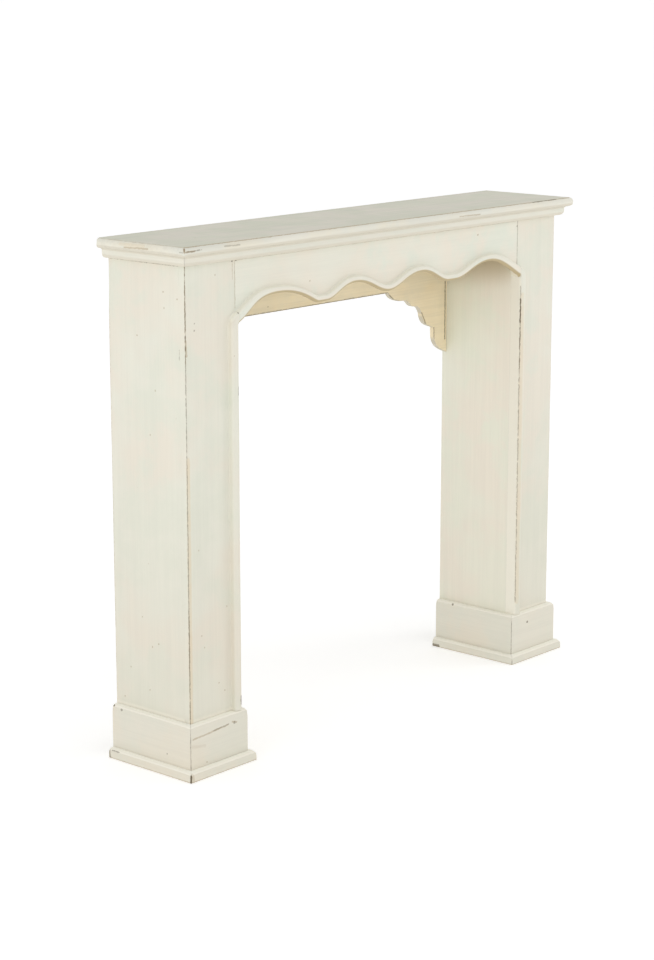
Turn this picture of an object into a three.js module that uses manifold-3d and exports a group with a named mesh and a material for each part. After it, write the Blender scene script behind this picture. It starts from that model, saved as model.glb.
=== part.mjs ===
// A painted wooden fireplace mantelpiece: two box legs on plinths, a scalloped frieze between
// them, a moulded cornice under a thin shelf, and a shaped board across the back.
// Millimetres. X runs along the shelf, Y runs from the front to the wall, Z is up.
// The origin is on the floor, under the middle of the shelf.

import * as THREE from 'three';
import { mergeVertices } from 'three/addons/utils/BufferGeometryUtils.js';
import Module from 'manifold-3d';

const wasm = await Module();
wasm.setup();

// Overall body, without the shelf's overhang
const HEIGHT = 1020;
const BODY_WIDTH = 1140;
const BODY_DEPTH = 202;

// Boards
const LEG_WIDTH = 132.5;
const BOARD = 16;
const BACK_BOARD = 12;

// Shelf: a slab with a full round nose on the front and both ends, fuller above than below
const SHELF_THICKNESS = 20;
const SHELF_NOSE = 30;
const NOSE_TOP_HEIGHT = 10.5;
const NOSE_TOP_REACH = 11;
const NOSE_BOTTOM_REACH = 9;

// Cornice moulding: a lip, a quarter round, a short face and a cove up to the shelf
const CORNICE_HEIGHT = 19.5;
const CORNICE_LIP = 6;
const CORNICE_FACE = 15.2;
const CORNICE_ROUND = 10.3;
const CORNICE_COVE = 4.5;

// Plinth boards round the foot of each leg, and the shoe strips round the plinths
const PLINTH_HEIGHT = 107;
const PLINTH_THICKNESS = 12.5;
const PLINTH_ROUND = 5;
const SHOE_HEIGHT = 20;
const SHOE_THICKNESS = 12;
const SHOE_ROUND = 6;

// Bead round the opening, worked on the edge of the frieze, and wider on the stiles
const BEAD_WIDTH = 13;
const STILE_BEAD_WIDTH = 20;
const BEAD_PROUD = 12;
const BEAD_ROUND = 4;

// Scalloped lower edge of the frieze: heights are measured down from the underside of the shelf
const CREST_DEPTH = 95.5;
const PENDANT_DROP = 28.5;
const SHOULDER_DROP = 39.5;
const SHOULDER_EASE = 3;
const CORNER_DROP = 47;

// The scallop divides the opening: places from its middle, as shares of its half width
const INNER_CREST = 0.234;
const PENDANT_START = 0.437;
const PENDANT_END = 0.487;
const OUTER_CREST = 0.752;
const SHOULDER = 0.982;

// Back board: a straight rail with a shaped drop at each leg
const RAIL_HEIGHT = 172.5;
const DROP_LENGTH = 200;
const DROP_HEIGHT = 152;

// Clearance between pieces that touch, and how far a cutting box reaches past the boards
const JOINT = 0.3;
const CUT_MARGIN = 1;

const CURVE_STEPS = 9;
const BEND_STEPS = 4;

// Places that follow from the sizes
const HALF_BODY = BODY_WIDTH / 2;
const HALF_OPENING = HALF_BODY - LEG_WIDTH;
const BACK = (BODY_DEPTH + SHELF_NOSE) / 2;
const FRONT = BACK - BODY_DEPTH;
const BODY_TOP = HEIGHT - SHELF_THICKNESS;
const CREST = BODY_TOP - CREST_DEPTH;
const RAIL_EDGE = BODY_TOP - RAIL_HEIGHT;

const PAINT = new THREE.Color(0xe3e1d3);
const SHELF_PAINT = new THREE.Color(0xcbc8ba);
const BACK_PAINT = new THREE.Color(0xc9bd98);

const mantelpiece = new THREE.Group();

function addPiece(name, geometry, colour = PAINT) {
	geometry.computeVertexNormals();
	const material = new THREE.MeshStandardMaterial({ color: colour, roughness: 0.62, metalness: 0 });
	const mesh = new THREE.Mesh(geometry, material);
	mesh.name = name;
	mantelpiece.add(mesh);
	return mesh;
}

// A closed geometry as a solid that can be joined and cut
function solidOf(geometry) {
	geometry.deleteAttribute('normal');
	geometry.deleteAttribute('uv');
	const merged = mergeVertices(geometry);
	const vertProperties = new Float32Array(merged.attributes.position.array);
	const triVerts = new Uint32Array(merged.index.array);
	return new wasm.Manifold(new wasm.Mesh({ numProp: 3, vertProperties, triVerts }));
}

function geometryOf(solid) {
	const mesh = solid.getMesh();
	const geometry = new THREE.BufferGeometry();
	geometry.setAttribute('position', new THREE.BufferAttribute(mesh.vertProperties, 3));
	geometry.setIndex(new THREE.BufferAttribute(mesh.triVerts, 1));
	return geometry;
}

// A box from its lowest and highest corners
function boxBetween([x0, y0, z0], [x1, y1, z1]) {
	const geometry = new THREE.BoxGeometry(x1 - x0, y1 - y0, z1 - z0);
	return geometry.translate((x0 + x1) / 2, (y0 + y1) / 2, (z0 + z1) / 2);
}

// An outline seen from the front (x, z), given a thickness from yFront to yBack
function slabFromFront(points, yFront, yBack, bevel = {}) {
	const shape = new THREE.Shape(points.map(([x, z]) => new THREE.Vector2(x, z)));
	const thickness = yBack - yFront;
	const round = bevel.bevelSize ?? 0;
	const geometry = new THREE.ExtrudeGeometry(shape, {
		depth: thickness - 2 * round,
		bevelEnabled: round > 0,
		...bevel,
	});
	geometry.translate(0, 0, round);
	geometry.rotateX(Math.PI / 2);
	return geometry.translate(0, yBack, 0);
}

// Points on a quarter ellipse round (cx, cz), from one angle to another, in quarter turns
function bend(cx, cz, rx, rz, fromQuarter, toQuarter) {
	const points = [];
	for (let i = 0; i <= BEND_STEPS; i++) {
		const angle = (fromQuarter + ((toQuarter - fromQuarter) * i) / BEND_STEPS) * (Math.PI / 2);
		points.push([cx + rx * Math.cos(angle), cz + rz * Math.sin(angle)]);
	}
	return points;
}

// A run of moulding along X, with its back on the plane y = 0 and its profile (out, z) towards -Y.
// At a mitred end each point runs on as far as it stands out.
function mouldingRun(profile, length, mitreLow, mitreHigh) {
	const shape = new THREE.Shape(profile.map(([out, z]) => new THREE.Vector2(out, z)));
	const geometry = new THREE.ExtrudeGeometry(shape, { depth: length, bevelEnabled: false });
	const position = geometry.attributes.position;
	const cut = JOINT / Math.SQRT2;
	for (let i = 0; i < position.count; i++) {
		const atHighEnd = position.getZ(i) < length / 2;
		const mitred = atHighEnd ? mitreHigh : mitreLow;
		const reach = mitred ? position.getX(i) - cut : 0;
		position.setZ(i, atHighEnd ? -reach : length + reach);
	}
	const turned = new THREE.Matrix4().set(0, 0, -1, length / 2, -1, 0, 0, 0, 0, 1, 0, 0, 0, 0, 0, 1);
	return geometry.applyMatrix4(turned);
}

// The same moulding on the front and both flanks of a box, mitred at the front corners.
// The flanks end square at the wall.
function wrapBox(profile, xLow, xHigh, names, colour = PAINT) {
	const middle = (xLow + xHigh) / 2;
	const front = addPiece(names.front, mouldingRun(profile, xHigh - xLow, true, true), colour);
	front.position.set(middle, FRONT, 0);
	const low = addPiece(names.low, mouldingRun(profile, BODY_DEPTH, false, true), colour);
	low.rotation.z = -Math.PI / 2;
	low.position.set(xLow, (FRONT + BACK) / 2, 0);
	const high = addPiece(names.high, mouldingRun(profile, BODY_DEPTH, true, false), colour);
	high.rotation.z = Math.PI / 2;
	high.position.set(xHigh, (FRONT + BACK) / 2, 0);
}

// The shelf is what its long profile and its cross profile have in common
function buildShelf() {
	const top = HEIGHT;
	const bottom = BODY_TOP;
	const tip = top - NOSE_TOP_HEIGHT;
	const nose = (reach) => [
		...bend(reach - NOSE_BOTTOM_REACH, tip, NOSE_BOTTOM_REACH, tip - bottom, -1, 0),
		...bend(reach - NOSE_TOP_REACH, tip, NOSE_TOP_REACH, NOSE_TOP_HEIGHT, 0, 1).slice(1),
	];
	const half = HALF_BODY + SHELF_NOSE;
	const right = nose(half);
	const left = right.map(([x, z]) => [-x, z]).reverse();
	const lengthwise = solidOf(slabFromFront([...right, ...left], -BACK, BACK));
	const cross = [...nose(BACK), [-BACK, top], [-BACK, bottom]];
	const run = mouldingRun(cross, 2 * half, false, false);
	addPiece('top_shelf', geometryOf(lengthwise.intersect(solidOf(run))), SHELF_PAINT);
}

function buildCornice() {
	const low = BODY_TOP - CORNICE_HEIGHT;
	const high = BODY_TOP - JOINT;
	const roundReach = CORNICE_FACE - CORNICE_LIP;
	const coveFoot = high - CORNICE_COVE;
	const coveReach = SHELF_NOSE - NOSE_BOTTOM_REACH - CORNICE_FACE;
	const profile = [
		[JOINT, low],
		...bend(CORNICE_LIP, low + CORNICE_ROUND, roundReach, CORNICE_ROUND, -1, 0),
		...bend(CORNICE_FACE + coveReach, coveFoot, coveReach, CORNICE_COVE, 2, 1),
		[JOINT, high],
	];
	wrapBox(profile, -HALF_BODY, HALF_BODY, {
		front: 'cornice_front',
		low: 'cornice_left',
		high: 'cornice_right',
	});
}

// One S-shaped stretch of the scallop, level at both ends
function ogee(path, x0, z0, x1, z1, startHandle, endHandle) {
	const dx = x1 - x0;
	path.bezierCurveTo(x0 + dx * startHandle, z0, x1 - dx * endHandle, z1, x1, z1);
}

// Right half of the opening's upper edge, from the middle pendant out to the leg
function lipRightHalf() {
	const at = (share) => share * HALF_OPENING;
	const pendant = CREST - PENDANT_DROP;
	const atCrest = 0.45;
	const atPendant = 0.34;
	const path = new THREE.Path();
	path.moveTo(0, pendant);
	ogee(path, 0, pendant, at(INNER_CREST), CREST, atPendant, atCrest);
	ogee(path, at(INNER_CREST), CREST, at(PENDANT_START), pendant, atCrest, atPendant);
	path.lineTo(at(PENDANT_END), pendant);
	ogee(path, at(PENDANT_END), pendant, at(OUTER_CREST), CREST, atPendant, atCrest);
	const crestX = at(OUTER_CREST);
	const shoulderX = at(SHOULDER);
	const reach = shoulderX - crestX;
	const shoulderZ = CREST - SHOULDER_DROP;
	const handle = reach * 0.35;
	const slope = 0.55;
	path.bezierCurveTo(
		crestX + reach * 0.45, CREST,
		shoulderX - handle, shoulderZ + handle * slope,
		shoulderX, shoulderZ,
	);
	path.quadraticCurveTo(HALF_OPENING, shoulderZ - SHOULDER_EASE, HALF_OPENING, CREST - CORNER_DROP);
	return path.getPoints(CURVE_STEPS);
}

// The opening's edge from the left foot, over the scallop, to the right foot
function openingEdge(footZ) {
	const right = lipRightHalf().map((p) => [p.x, p.y]);
	const left = right.slice(1).map(([x, z]) => [-x, z]).reverse();
	return [[-HALF_OPENING, footZ], ...left, ...right, [HALF_OPENING, footZ]];
}

// The bead's outer edge: the opening's edge moved out by the bead's width, which grows from the
// outer crest to the stile
function beadOuterEdge(edge) {
	const crestX = OUTER_CREST * HALF_OPENING;
	return edge.map(([x, z], i) => {
		const share = Math.max(Math.abs(x) - crestX, 0) / (HALF_OPENING - crestX);
		const distance = BEAD_WIDTH + (STILE_BEAD_WIDTH - BEAD_WIDTH) * share;
		const before = edge[Math.max(i - 1, 0)];
		const after = edge[Math.min(i + 1, edge.length - 1)];
		const dx = after[0] - before[0];
		const dz = after[1] - before[1];
		const length = Math.hypot(dx, dz);
		return [x - (dz / length) * distance, z + (dx / length) * distance];
	});
}

// The stiles and the frieze are cut from one front, so that the bead runs on across their joints
function buildFront() {
	const top = BODY_TOP - JOINT;
	const edge = openingEdge(0);
	const outline = [...edge, [HALF_BODY, 0], [HALF_BODY, top], [-HALF_BODY, top], [-HALF_BODY, 0]];
	const boards = solidOf(slabFromFront(outline.reverse(), FRONT, FRONT + BOARD));
	const inner = openingEdge(0);
	const outer = beadOuterEdge(inner).reverse();
	const bead = solidOf(slabFromFront([...inner, ...outer].reverse(), FRONT - BEAD_PROUD, FRONT + BOARD / 2, {
		bevelThickness: BEAD_ROUND,
		bevelSize: BEAD_ROUND,
		bevelOffset: -BEAD_ROUND,
		bevelSegments: 3,
	}));
	const foot = PLINTH_HEIGHT + JOINT;
	const abovePlinth = solidOf(boxBetween([-HALF_BODY, -BACK, foot], [HALF_BODY, BACK, HEIGHT]));
	const front = boards.add(bead.intersect(abovePlinth));
	const half = JOINT / 2;
	const cuts = {
		left_stile: [-HALF_BODY - CUT_MARGIN, -HALF_OPENING - half],
		frieze_board: [-HALF_OPENING + half, HALF_OPENING - half],
		right_stile: [HALF_OPENING + half, HALF_BODY + CUT_MARGIN],
	};
	for (const [name, [x0, x1]] of Object.entries(cuts)) {
		const slice = solidOf(boxBetween([x0, -BACK, -CUT_MARGIN], [x1, BACK, HEIGHT]));
		addPiece(name, geometryOf(front.intersect(slice)));
	}
}

// The two flanks of a leg stand behind its stile and make it a box that is open to the wall
function buildLeg(side, sign) {
	const low = FRONT + BOARD + JOINT;
	const top = BODY_TOP - JOINT;
	const outerX = sign * (HALF_BODY - BOARD / 2);
	const innerX = sign * (HALF_OPENING + BOARD / 2);
	for (const [name, x] of [['outer', outerX], ['inner', innerX]]) {
		const flank = boxBetween([-BOARD / 2, low, 0], [BOARD / 2, BACK, top]);
		addPiece(`${side}_${name}_board`, flank).position.x = x;
	}
}

// A board or strip that lies flat on the leg, with its top front arris rounded
function coverProfile(backOut, thickness, height, round) {
	const out = backOut + thickness;
	return [
		[backOut + JOINT, 0],
		[out, 0],
		...bend(out - round, height - round, round, round, 0, 1),
		[backOut + JOINT, height],
	];
}

function buildFoot(side, sign) {
	const [xLow, xHigh] = [sign * HALF_OPENING, sign * HALF_BODY].sort((a, b) => a - b);
	const names = (piece) => ({
		front: `${side}_${piece}_front`,
		low: `${side}_${piece}_${sign > 0 ? 'inner' : 'outer'}`,
		high: `${side}_${piece}_${sign > 0 ? 'outer' : 'inner'}`,
	});
	wrapBox(coverProfile(0, PLINTH_THICKNESS, PLINTH_HEIGHT, PLINTH_ROUND), xLow, xHigh, names('plinth'));
	wrapBox(coverProfile(PLINTH_THICKNESS, SHOE_THICKNESS, SHOE_HEIGHT, SHOE_ROUND), xLow, xHigh, names('shoe'));
}

// Outline of one shaped drop, from the rail's lower edge to the leg: a round lobe, a cusp,
// two S-shaped steps, an upright and a round end. Shares of its length and height.
function dropOutline() {
	const legX = HALF_OPENING - JOINT;
	const x = (share) => legX - share * DROP_LENGTH;
	const z = (share) => RAIL_EDGE - share * DROP_HEIGHT;
	const path = new THREE.Path();
	path.moveTo(x(1), z(0));
	path.bezierCurveTo(x(0.98), z(0.08), x(0.88), z(0.15), x(0.75), z(0.145));
	path.bezierCurveTo(x(0.65), z(0.14), x(0.65), z(0.26), x(0.56), z(0.255));
	path.bezierCurveTo(x(0.49), z(0.25), x(0.44), z(0.34), x(0.435), z(0.4));
	path.bezierCurveTo(x(0.41), z(0.55), x(0.31), z(0.57), x(0.225), z(0.61));
	path.lineTo(x(0.22), z(0.75));
	path.bezierCurveTo(x(0.2), z(0.9), x(0.1), z(0.95), x(0), z(1));
	return path.getPoints(CURVE_STEPS - 2);
}

function buildBackBoard() {
	const right = dropOutline().map((p) => [p.x, p.y]);
	const left = right.map(([x, z]) => [-x, z]).reverse();
	const top = BODY_TOP - JOINT;
	const edgeX = HALF_OPENING - JOINT;
	const outline = [[edgeX, top], [-edgeX, top], ...left, ...right];
	addPiece('back_board', slabFromFront(outline, BACK - BACK_BOARD, BACK), BACK_PAINT);
}

buildShelf();
buildCornice();
buildFront();
for (const [side, sign] of [['left', -1], ['right', 1]]) {
	buildLeg(side, sign);
	buildFoot(side, sign);
}
buildBackBoard();

export default mantelpiece;
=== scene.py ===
"""A painted wooden mantelpiece, dressed with worn cream paint and set up in a plain studio.

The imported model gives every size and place. Each board and moulding is rebuilt here with soft
arrises, hand-cut unevenness and dents, and painted with a finish made of nodes. Lengths are in
millimetres until a mesh is made, and in metres from there on.
"""
import logging
import math
from dataclasses import dataclass
from enum import Enum

import bmesh
import bpy
import numpy as np
from mathutils import Matrix, Vector


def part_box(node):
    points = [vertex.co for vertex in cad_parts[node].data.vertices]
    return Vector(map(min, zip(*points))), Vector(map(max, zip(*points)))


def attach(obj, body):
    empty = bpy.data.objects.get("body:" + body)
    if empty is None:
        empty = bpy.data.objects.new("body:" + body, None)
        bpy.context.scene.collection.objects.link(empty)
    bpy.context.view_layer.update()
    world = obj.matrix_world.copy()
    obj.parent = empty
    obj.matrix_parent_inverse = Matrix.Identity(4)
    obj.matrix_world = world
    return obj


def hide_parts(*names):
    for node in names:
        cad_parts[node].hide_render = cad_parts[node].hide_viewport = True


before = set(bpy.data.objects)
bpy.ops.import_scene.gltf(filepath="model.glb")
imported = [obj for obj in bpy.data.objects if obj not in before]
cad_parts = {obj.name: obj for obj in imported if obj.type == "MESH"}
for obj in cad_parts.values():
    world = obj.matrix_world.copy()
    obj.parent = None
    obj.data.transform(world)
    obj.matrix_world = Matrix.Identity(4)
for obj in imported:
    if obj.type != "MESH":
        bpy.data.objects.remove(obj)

MM = 0.001
BODY = "root"

log = logging.getLogger("mantelpiece")

Point = tuple[float, float, float]
Faces = list[list[int]]


class Side(Enum):
    """The two legs, as seen from the front."""

    LEFT = -1
    RIGHT = 1

    @property
    def word(self) -> str:
        """The side's name as the frame's nodes spell it."""
        return self.name.lower()


class Grain(Enum):
    """Which way the wood grain and the brush strokes run."""

    LEVEL = 0
    DEEP = 1
    UPRIGHT = 2


class Tone(Enum):
    """What shows where the paint is marked, from painted light or a faint stain, through painted shade, to bare wood
    and an open crack.
    """

    # Painted light: a pale colour laid where the surface should look more lit.
    PALE = (240, 235, 220)
    STAIN = (224, 200, 160)
    SHADE = (178, 160, 122)
    BARE = (166, 143, 107)
    GAP = (92, 78, 52)


def tint(red: float, green: float, blue: float) -> tuple[float, float, float, float]:
    """A screen colour, 0 to 255, as the linear colour that a shader takes."""

    def linear(value: float) -> float:
        """One channel as linear light."""
        share = value / 255
        return share / 12.92 if share <= 0.04045 else ((share + 0.055) / 1.055) ** 2.4

    return (linear(red), linear(green), linear(blue), 1.0)


@dataclass(frozen=True)
class Mark:
    """A streak, crack or spot in the paint: everything within reach of the line from a to b.

    Attributes:
        start: One end of the line, in millimetres.
        end: The other end; the same as start for a spot.
        reach: Distance from the line that is fully marked.
        tone: What shows through.
        strength: How far the tone covers the paint, 0 to 1.
        broken: How much the mark comes and goes along its way, 0 to 1.
        soft: Width of the fade outside the reach.
    """

    start: Point
    end: Point
    reach: float
    tone: Tone = Tone.BARE
    strength: float = 1.0
    broken: float = 0.0
    soft: float = 0.8


def spot(x: float, y: float, z: float, reach: float, tone: Tone = Tone.GAP, strength: float = 0.7) -> Mark:
    """A round mark at one place."""
    return Mark((x, y, z), (x, y, z), reach, tone, strength)


@dataclass(frozen=True)
class Dent:
    """A worn or knocked place, where the surface is pushed in.

    Attributes:
        place: Middle of the dent, in millimetres.
        push: How far and which way the middle moves.
        radius: Distance at which the surface is whole again.
    """

    place: Point
    push: Point
    radius: float


@dataclass(frozen=True)
class Carcass:
    """The main planes of the mantelpiece in millimetres, read from the frame."""

    half_body: float
    half_opening: float
    half_shelf: float
    front: float
    back: float
    body_top: float
    top: float
    board: float
    shelf_front: float
    bead_front: float
    plinth_top: float
    plinth: float
    shoe_top: float
    shoe: float
    cornice_low: float
    joint: float

    @classmethod
    def from_frame(cls) -> "Carcass":
        """Reads the planes from the boxes of the frame's nodes."""
        shelf_low, shelf_high = box_of("top_shelf")
        flank_low, flank_high = box_of("right_outer_board")
        inner_low, _ = box_of("right_inner_board")
        stile_low, stile_high = box_of("right_stile")
        back_low, back_high = box_of("back_board")
        plinth_low, plinth_high = box_of("right_plinth_front")
        shoe_low, shoe_high = box_of("right_shoe_front")
        cornice_low, _ = box_of("cornice_front")
        board = flank_high[0] - flank_low[0]
        joint = shelf_low[2] - stile_high[2]
        front = flank_low[1] - board - joint
        return cls(
            half_body=flank_high[0],
            half_opening=inner_low[0],
            half_shelf=shelf_high[0],
            front=front,
            back=back_high[1],
            body_top=shelf_low[2],
            top=shelf_high[2],
            board=board,
            shelf_front=shelf_low[1],
            bead_front=stile_low[1],
            plinth_top=plinth_high[2],
            plinth=front - plinth_low[1],
            shoe_top=shoe_high[2],
            shoe=plinth_low[1] - shoe_low[1],
            cornice_low=cornice_low[2],
            joint=joint,
        )


def box_of(node: str) -> tuple[np.ndarray, np.ndarray]:
    """Lowest and highest corner of a frame node, in millimetres."""
    low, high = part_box(node)
    return np.array(low) / MM, np.array(high) / MM


def ripple(points: np.ndarray, wave: float, seed: int) -> np.ndarray:
    """Smooth seeded unevenness.

    Args:
        points: Places in millimetres, one row each.
        wave: Distance over which it changes.
        seed: Picks one pattern.

    Returns:
        One value from -1 to 1 for each place.
    """
    scaled = points / wave + seed * 13.37
    cell = np.floor(scaled).astype(np.int64)
    inside = scaled - cell
    ease = inside * inside * (3 - 2 * inside)
    total = np.zeros(len(points))
    for corner in range(8):
        step = np.array([corner & 1, corner >> 1 & 1, corner >> 2 & 1])
        at = cell + step
        mixed = (at[:, 0] * 73856093) ^ (at[:, 1] * 19349663) ^ (at[:, 2] * 83492791) ^ (seed * 2654435761)
        mixed = ((mixed ^ (mixed >> 13)) * 1274126177) & 0x7FFFFFFF
        share = np.prod(np.where(step == 1, ease, 1 - ease), axis=1)
        total += share * (mixed / 0x7FFFFFFF * 2 - 1)
    return total


def quarter(centre: tuple[float, float], radii: tuple[float, float], turn: float, steps: int) -> np.ndarray:
    """Points on a quarter ellipse.

    Args:
        centre: Its middle.
        radii: Its two radii; a negative one mirrors it.
        turn: Where it starts, in quarter turns.
        steps: Number of stretches.

    Returns:
        The points, one row each, from start to end.
    """
    angle = (turn + np.linspace(0, 1, steps + 1)) * math.pi / 2
    return np.stack([centre[0] + radii[0] * np.cos(angle), centre[1] + radii[1] * np.sin(angle)], axis=1)


def bezier(p0: Point, p1: Point, p2: Point, p3: Point, steps: int) -> np.ndarray:
    """Points on a cubic curve, without its last one."""
    t = np.linspace(0, 1, steps + 1)[:-1, None]
    ends = (1 - t) ** 3 * np.array(p0) + t**3 * np.array(p3)
    return ends + 3 * (1 - t) ** 2 * t * np.array(p1) + 3 * (1 - t) * t**2 * np.array(p2)


def tube(rings: np.ndarray) -> tuple[np.ndarray, Faces]:
    """A closed surface through a row of rings.

    Args:
        rings: Array of rings, each the same number of points.

    Returns:
        The points and the faces, with both ends capped.
    """
    count, around, _ = rings.shape
    faces = []
    for i in range(count - 1):
        for j in range(around):
            k = (j + 1) % around
            faces.append([i * around + j, i * around + k, (i + 1) * around + k, (i + 1) * around + j])
    faces.append(list(range(around))[::-1])
    faces.append(list(range((count - 1) * around, count * around)))
    return rings.reshape(-1, 3), faces


def grid_lines(low: float, high: float, arris: float, spacing: float) -> np.ndarray:
    """Places of the grid lines across one side of a board, closer together at its arrises."""
    near = arris * np.array([0.0, 0.12, 0.45, 1.0])
    count = max(2, int(round((high - low - 2 * arris) / spacing)) + 1)
    middle = np.linspace(low + arris, high - arris, count)
    return np.concatenate([low + near[:-1], middle, high - near[:-1][::-1]])


def block(lines: list[np.ndarray]) -> tuple[np.ndarray, Faces]:
    """The surface of a box with grid lines on its faces.

    Args:
        lines: Places of the grid lines along X, Y and Z.

    Returns:
        The points, shared along the edges, and the faces.
    """
    index: dict[tuple[int, int, int], int] = {}
    points = []
    faces = []

    def number(at: tuple[int, int, int]) -> int:
        """The running number of a grid point."""
        if at not in index:
            index[at] = len(points)
            points.append([lines[axis][at[axis]] for axis in range(3)])
        return index[at]

    for axis in range(3):
        u, v = (axis + 1) % 3, (axis + 2) % 3
        for end in (0, len(lines[axis]) - 1):
            for i in range(len(lines[u]) - 1):
                for j in range(len(lines[v]) - 1):
                    corners = []
                    for du, dv in ((0, 0), (1, 0), (1, 1), (0, 1)):
                        at = [0, 0, 0]
                        at[axis], at[u], at[v] = end, i + du, j + dv
                        corners.append(number(tuple(at)))
                    faces.append(corners if end else corners[::-1])
    return np.array(points, float), faces


def board_surface(low: np.ndarray, high: np.ndarray, arris: float, spacing: float) -> tuple[np.ndarray, Faces]:
    """A planed board with soft arrises.

    Args:
        low: Its lowest corner.
        high: Its highest corner.
        arris: Radius of the arrises.
        spacing: Distance between grid lines.

    Returns:
        The points and the faces.
    """
    lines = [grid_lines(low[axis], high[axis], arris, spacing) for axis in range(3)]
    points, faces = block(lines)
    core = np.clip(points, low + arris, high - arris)
    off = points - core
    length = np.linalg.norm(off, axis=1, keepdims=True)
    return core + off / np.maximum(length, 1e-9) * np.minimum(length, arris), faces


def mitred_run(
    profile: np.ndarray,
    start: tuple[float, float],
    end: tuple[float, float],
    mitres: tuple[bool, bool],
    gap: float,
    spacing: float,
) -> tuple[np.ndarray, Faces]:
    """A length of moulding on the outside of a box, seen from above to the right of its run.

    Args:
        profile: How far out and how high each point of its section is.
        start: Where the run starts on the box, (x, y).
        end: Where it ends.
        mitres: Whether the start and the end are mitred.
        gap: Clearance at each mitre.
        spacing: Distance between sections.

    Returns:
        The points and the faces.
    """
    first, last = np.array(start, float), np.array(end, float)
    length = float(np.linalg.norm(last - first))
    along = (last - first) / length
    outward = np.array([along[1], -along[0]])
    reach = profile[:, :1] - gap
    from_here = first + outward * profile[:, :1] - along * reach * mitres[0]
    to_here = last + outward * profile[:, :1] + along * reach * mitres[1]
    near = np.array([0.0, 0.4, 1.5, 4.0]) / length
    count = max(2, int(length / spacing))
    share = np.concatenate([near, np.linspace(0, 1, count + 1)[1:-1], 1 - near[::-1]])
    share = np.unique(np.round(share, 6))[:, None, None]
    level = np.broadcast_to(profile[:, 1:], (len(share), len(profile), 1))
    flat = from_here + (to_here - from_here) * share
    return tube(np.concatenate([flat, level], axis=2))


def plate_surface(outline: np.ndarray, front: float, back: float, arris: float) -> tuple[np.ndarray, Faces]:
    """A flat board with a sawn outline and soft arrises.

    Args:
        outline: Its corners seen from the front, (x, z), in order.
        front: Plane of its front.
        back: Plane of its back.
        arris: Radius of the arrises.

    Returns:
        The points and the faces.
    """
    before = outline - np.roll(outline, 1, axis=0)
    after = np.roll(outline, -1, axis=0) - outline
    tangent = before / np.linalg.norm(before, axis=1, keepdims=True)
    tangent += after / np.linalg.norm(after, axis=1, keepdims=True)
    inward = np.stack([-tangent[:, 1], tangent[:, 0]], axis=1)
    inward /= np.linalg.norm(inward, axis=1, keepdims=True)
    x, z = outline[:, 0], outline[:, 1]
    area = np.sum(x * np.roll(z, -1) - np.roll(x, -1) * z)
    inward *= np.sign(area)
    steps = [(arris, 0), (0.4 * arris, 0.12 * arris), (0.1 * arris, 0.45 * arris), (0, arris)]
    levels = [(off, front + deep) for off, deep in steps] + [(off, back - deep) for off, deep in steps[::-1]]
    rings = []
    for off, y in levels:
        moved = outline + inward * off
        rings.append(np.stack([moved[:, 0], np.full(len(moved), y), moved[:, 1]], axis=1))
    return tube(np.array(rings))


class PaintPot:
    """Adds the nodes of one material and joins them up."""

    def __init__(self, name: str) -> None:
        """Starts a material with its shader.

        Args:
            name: The material's name.
        """
        self.material = bpy.data.materials.new(name)
        self.material.use_nodes = True
        self.tree = self.material.node_tree
        self.shader = next(node for node in self.tree.nodes if node.type == "BSDF_PRINCIPLED")

    def add(self, kind: str, **values: object) -> bpy.types.Node:
        """Adds a node and sets its properties."""
        node = self.tree.nodes.new(kind)
        for key, value in values.items():
            setattr(node, key, value)
        return node

    def feed(self, socket: bpy.types.NodeSocket, value: object) -> None:
        """Joins a socket to another node's output, or sets its value."""
        if isinstance(value, bpy.types.NodeSocket):
            self.tree.links.new(value, socket)
        else:
            socket.default_value = value

    def sum_of(self, operation: str, *values: object, clamp: bool = False) -> bpy.types.NodeSocket:
        """The result of a math node on up to three values."""
        node = self.add("ShaderNodeMath", operation=operation, use_clamp=clamp)
        for socket, value in zip(node.inputs, values):
            self.feed(socket, value)
        return node.outputs[0]

    def vector(self, operation: str, *values: object) -> bpy.types.Node:
        """A vector math node on its values."""
        node = self.add("ShaderNodeVectorMath", operation=operation)
        for socket, value in zip(node.inputs, values):
            self.feed(socket, value)
        return node

    def ramp(self, value: object, low: float, high: float, to: tuple[float, float] = (0, 1)) -> bpy.types.NodeSocket:
        """A value eased from one range into another."""
        node = self.add("ShaderNodeMapRange", interpolation_type="SMOOTHSTEP")
        for socket, given in zip(node.inputs, (value, low, high, *to)):
            self.feed(socket, given)
        return node.outputs[0]

    def noise(self, place: object, scale: float, detail: float = 2, rough: float = 0.5) -> bpy.types.Node:
        """A noise texture at a place."""
        node = self.add("ShaderNodeTexNoise")
        self.feed(node.inputs["Vector"], place)
        for key, value in (("Scale", scale), ("Detail", detail), ("Roughness", rough)):
            node.inputs[key].default_value = value
        return node

    def mix(self, share: object, first: object, second: object, blend: str = "MIX") -> bpy.types.NodeSocket:
        """Two colours mixed by a share."""
        node = self.add("ShaderNodeMix", data_type="RGBA", blend_type=blend)
        self.feed(node.inputs[0], share)
        self.feed(node.inputs[6], first)
        self.feed(node.inputs[7], second)
        return node.outputs[2]


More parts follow.
